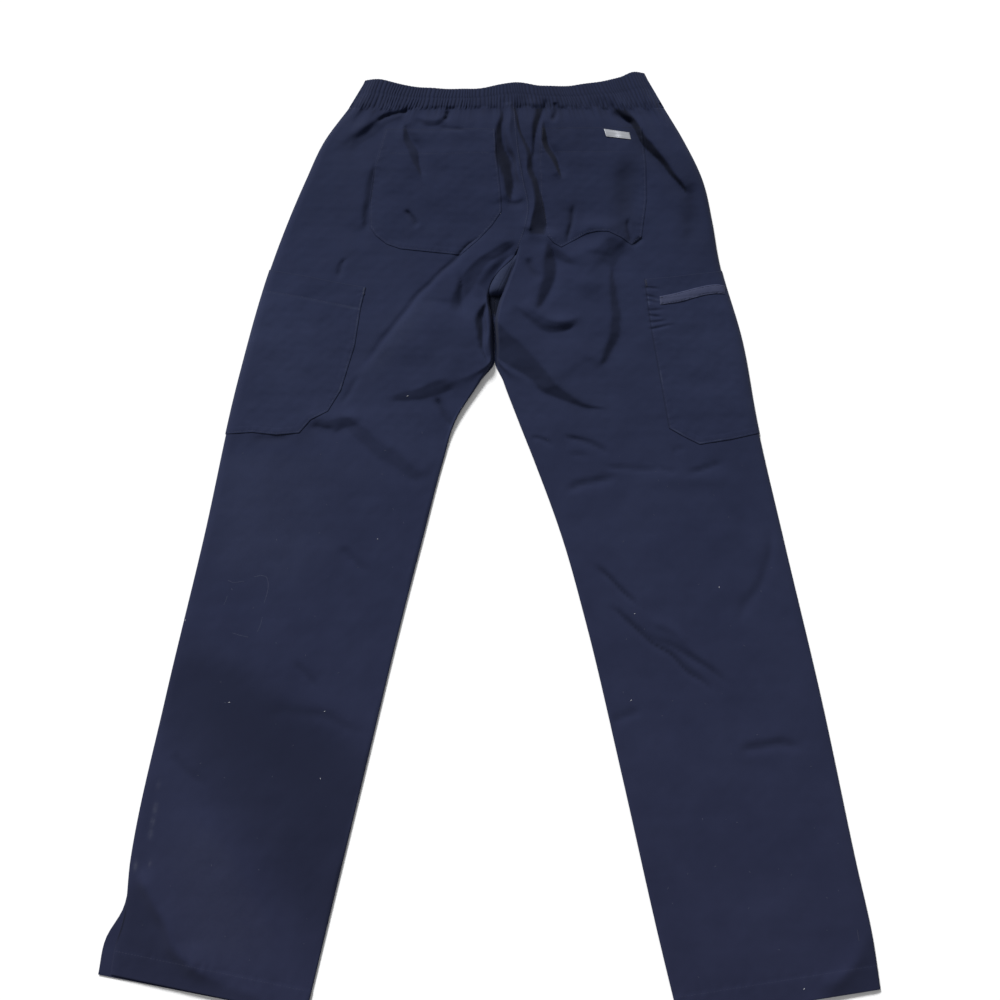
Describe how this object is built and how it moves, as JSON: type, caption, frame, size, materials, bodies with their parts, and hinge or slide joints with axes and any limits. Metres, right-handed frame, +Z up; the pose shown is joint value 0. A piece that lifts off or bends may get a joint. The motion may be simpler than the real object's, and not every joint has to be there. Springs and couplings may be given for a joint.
{
  "type": "scrub trousers",
  "caption": "Straight-leg cargo scrub trousers with a gathered elastic waist, laid flat with the back side up.",
  "frame": {"origin": "on the floor under the middle of the garment's box", "axes": "+X towards the wearer's right leg, +Y from the hems to the waist, +Z up from the floor"},
  "size_m": [0.7452, 1.053, 0.0199],
  "materials": {
    "cloth": "matte navy twill",
    "tape": "matte grey-blue woven tape",
    "tag": "bare silver-grey satin"
  },
  "bodies": {
    "root": {"front_left": "cloth", "front_right": "cloth", "back_left": "cloth", "back_right": "cloth", "waistband_front": "cloth", "waistband_back": "cloth", "back_pocket_left": "cloth", "back_pocket_right": "cloth", "cargo_pocket_left": "cloth", "cargo_pocket_right": "cloth", "cargo_tape_right": "tape", "pocket_tag": "tag"}
  },
  "joints": []
}
